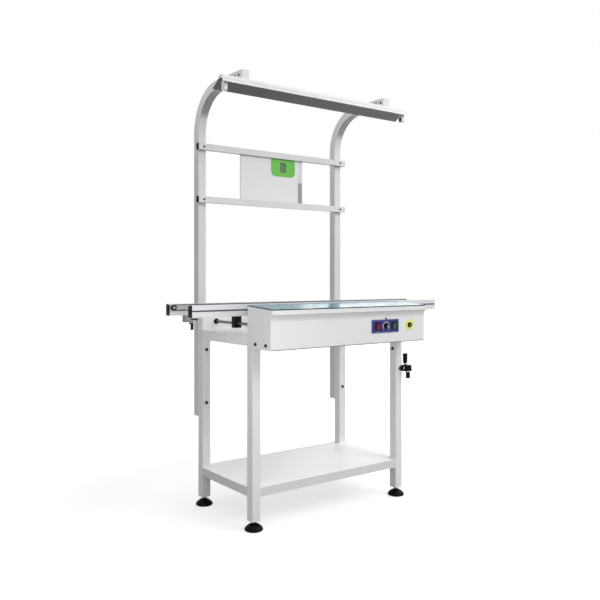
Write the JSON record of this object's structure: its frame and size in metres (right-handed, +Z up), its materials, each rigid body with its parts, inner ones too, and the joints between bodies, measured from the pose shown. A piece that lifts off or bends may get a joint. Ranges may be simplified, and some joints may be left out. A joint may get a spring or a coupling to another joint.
{
  "type": "circuit board inspection conveyor bench",
  "caption": "White steel bench that carries circuit boards on a pair of belt rails past a sloped control cabinet, with a lower shelf and an arched lamp gantry holding a document pocket.",
  "frame": {"origin": "on the floor, at the centre of the whole bench's outline seen from above", "axes": "+Z up, +X along the board flow from left to right, +Y from the control cabinet to the lamp posts"},
  "size_m": [1.324, 0.629, 1.848],
  "materials": {
    "white_powder_coat": "cool white powder coat, satin",
    "reflector_grey": "dark grey inside, white outside",
    "lamp_holder_plastic": "white moulded plastic",
    "anodised_aluminium": "clear anodised extrusion",
    "turned_aluminium": "turned",
    "bright_steel": "ground and plated steel",
    "black_oxide": "black oxide screws",
    "black_block": "black anodised",
    "black_plastic": "moulded black plastic",
    "black_gloss": "glossy black plastic",
    "crank_black": "black paint",
    "belt_rubber": "flat antistatic belt",
    "pocket_clear": "clear and white sheet",
    "tab_green": "printed green label",
    "mat_green": "glossy antistatic mat",
    "panel_blue": "printed blue panel",
    "rocker_red": "translucent red",
    "rocker_green": "translucent green",
    "ground_yellow": "yellow label with black jack",
    "motor_grey": "painted",
    "sensor_grey": "grey block"
  },
  "bodies": {
    "frame": {"legs": "white_powder_coat", "top_beams": "white_powder_coat", "bed_plate": "white_powder_coat", "shelf_tray": "white_powder_coat", "foot_nuts": "bright_steel", "lamp_post_left": "white_powder_coat", "lamp_post_right": "white_powder_coat", "crossbars": "white_powder_coat", "crossbar_plugs": "black_plastic", "frame_bolts": "black_oxide", "lamp_batten": "white_powder_coat", "lamp_reflector": "reflector_grey", "lamp_holders": "lamp_holder_plastic", "cabinet_front": "white_powder_coat", "cabinet_ends": "white_powder_coat", "cabinet_floor": "white_powder_coat", "work_mat": "mat_green", "control_panel": "panel_blue", "switch_bodies": "black_gloss", "ground_point": "ground_yellow", "front_rail": "anodised_aluminium", "front_rail_ends": "black_plastic", "front_belt": "belt_rubber", "drive_motor": "motor_grey", "motor_bracket": "bright_steel", "guide_shafts": "bright_steel", "shaft_supports": "black_block", "rear_support_beam": "white_powder_coat", "speed_controller": "motor_grey", "power_inlet": "black_plastic", "board_sensor": "black_plastic", "crank_holder": "crank_black"},
    "rear_rail_carriage": {"rear_rail": "anodised_aluminium", "rear_rail_ends": "black_plastic", "rear_belt": "belt_rubber", "carriage_blocks": "black_block", "sensor_reflector": "sensor_grey"},
    "width_screw": {"lead_screw": "bright_steel"},
    "drive_line": {"drive_shaft": "bright_steel", "front_drive_pulley": "turned_aluminium"},
    "rear_drive_pulley": {"rear_drive_pulley": "turned_aluminium"},
    "pocket": {"document_pocket": "pocket_clear", "pocket_tab": "tab_green"},
    "start_rocker": {"start_rocker": "rocker_green"},
    "stop_rocker": {"stop_rocker": "rocker_red"},
    "speed_knob": {"speed_knob": "black_gloss"},
    "crank": {"crank": "crank_black"},
    "crank_grip": {"crank_grip": "black_plastic"},
    "front_left_pulley": {"front_left_pulley": "turned_aluminium"},
    "front_right_pulley": {"front_right_pulley": "turned_aluminium"},
    "front_left_idler": {"front_left_idler": "turned_aluminium"},
    "front_right_idler": {"front_right_idler": "turned_aluminium"},
    "rear_left_pulley": {"rear_left_pulley": "turned_aluminium"},
    "rear_right_pulley": {"rear_right_pulley": "turned_aluminium"},
    "rear_left_idler": {"rear_left_idler": "turned_aluminium"},
    "rear_right_idler": {"rear_right_idler": "turned_aluminium"},
    "foot_front_left": {"foot_front_left": "black_gloss"},
    "foot_rear_left": {"foot_rear_left": "black_gloss"},
    "foot_front_right": {"foot_front_right": "black_gloss"},
    "foot_rear_right": {"foot_rear_right": "black_gloss"}
  },
  "joints": [
    {"name": "width_slide", "type": "slide", "parent": "frame", "child": "rear_rail_carriage", "axis": [0, 1, 0], "range_m": [-0.131, 0.149]},
    {"name": "width_screw_spin", "type": "hinge", "parent": "frame", "child": "width_screw", "pos_m": [0.183, 0, 0.831], "axis": [0, 1, 0], "continuous": true},
    {"name": "drive_spin", "type": "hinge", "parent": "frame", "child": "drive_line", "pos_m": [-0.12, 0, 0.836], "axis": [0, 1, 0], "continuous": true},
    {"name": "rear_drive_pulley_spin", "type": "hinge", "parent": "rear_rail_carriage", "child": "rear_drive_pulley", "pos_m": [-0.12, 0.0505, 0.836], "axis": [0, 1, 0], "continuous": true},
    {"name": "front_left_pulley_spin", "type": "hinge", "parent": "frame", "child": "front_left_pulley", "pos_m": [-0.638, -0.1185, 0.8851], "axis": [0, 1, 0], "continuous": true},
    {"name": "front_right_pulley_spin", "type": "hinge", "parent": "frame", "child": "front_right_pulley", "pos_m": [0.638, -0.1185, 0.8851], "axis": [0, 1, 0], "continuous": true},
    {"name": "front_left_idler_spin", "type": "hinge", "parent": "frame", "child": "front_left_idler", "pos_m": [-0.1432, -0.1185, 0.8669], "axis": [0, 1, 0], "continuous": true},
    {"name": "front_right_idler_spin", "type": "hinge", "parent": "frame", "child": "front_right_idler", "pos_m": [-0.0968, -0.1185, 0.8669], "axis": [0, 1, 0], "continuous": true},
    {"name": "rear_left_pulley_spin", "type": "hinge", "parent": "rear_rail_carriage", "child": "rear_left_pulley", "pos_m": [-0.638, 0.0625, 0.8851], "axis": [0, 1, 0], "continuous": true},
    {"name": "rear_right_pulley_spin", "type": "hinge", "parent": "rear_rail_carriage", "child": "rear_right_pulley", "pos_m": [0.638, 0.0625, 0.8851], "axis": [0, 1, 0], "continuous": true},
    {"name": "rear_left_idler_spin", "type": "hinge", "parent": "rear_rail_carriage", "child": "rear_left_idler", "pos_m": [-0.1432, 0.0625, 0.8669], "axis": [0, 1, 0], "continuous": true},
    {"name": "rear_right_idler_spin", "type": "hinge", "parent": "rear_rail_carriage", "child": "rear_right_idler", "pos_m": [-0.0968, 0.0625, 0.8669], "axis": [0, 1, 0], "continuous": true},
    {"name": "pocket_slide", "type": "slide", "parent": "frame", "child": "pocket", "axis": [1, 0, 0], "range_m": [-0.185, 0.225]},
    {"name": "stop_rocker_tip", "type": "hinge", "parent": "frame", "child": "stop_rocker", "pos_m": [0.1355, -0.302, 0.7985], "axis": [1, 0, 0], "range_deg": [-16, 0]},
    {"name": "start_rocker_tip", "type": "hinge", "parent": "frame", "child": "start_rocker", "pos_m": [0.2305, -0.302, 0.7985], "axis": [1, 0, 0], "range_deg": [-16, 0]},
    {"name": "speed_knob_turn", "type": "hinge", "parent": "frame", "child": "speed_knob", "pos_m": [0.183, -0.303, 0.7985], "axis": [0, 1, 0], "range_deg": [-255, 45]},
    {"name": "crank_lift", "type": "slide", "parent": "frame", "child": "crank", "axis": [0, 0, 1], "range_m": [0, 0.06]},
    {"name": "crank_grip_spin", "type": "hinge", "parent": "crank", "child": "crank_grip", "pos_m": [0.45666, -0.14265, 0.605], "axis": [0, 0, 1], "continuous": true},
    {"name": "foot_front_left_level", "type": "slide", "parent": "frame", "child": "foot_front_left", "axis": [0, 0, -1], "range_m": [0, 0.03]},
    {"name": "foot_rear_left_level", "type": "slide", "parent": "frame", "child": "foot_rear_left", "axis": [0, 0, -1], "range_m": [0, 0.03]},
    {"name": "foot_front_right_level", "type": "slide", "parent": "frame", "child": "foot_front_right", "axis": [0, 0, -1], "range_m": [0, 0.03]},
    {"name": "foot_rear_right_level", "type": "slide", "parent": "frame", "child": "foot_rear_right", "axis": [0, 0, -1], "range_m": [0, 0.03]}
  ],
  "couplings": [
    {"joint": "width_screw_spin", "follows": "width_slide", "rad_per_m": 628.32},
    {"joint": "rear_drive_pulley_spin", "follows": "drive_spin", "ratio": 1},
    {"joint": "front_left_pulley_spin", "follows": "drive_spin", "ratio": 1.4717},
    {"joint": "front_right_pulley_spin", "follows": "drive_spin", "ratio": 1.4717},
    {"joint": "front_left_idler_spin", "follows": "drive_spin", "ratio": -2.0526},
    {"joint": "front_right_idler_spin", "follows": "drive_spin", "ratio": -2.0526},
    {"joint": "rear_left_pulley_spin", "follows": "drive_spin", "ratio": 1.4717},
    {"joint": "rear_right_pulley_spin", "follows": "drive_spin", "ratio": 1.4717},
    {"joint": "rear_left_idler_spin", "follows": "drive_spin", "ratio": -2.0526},
    {"joint": "rear_right_idler_spin", "follows": "drive_spin", "ratio": -2.0526}
  ]
}
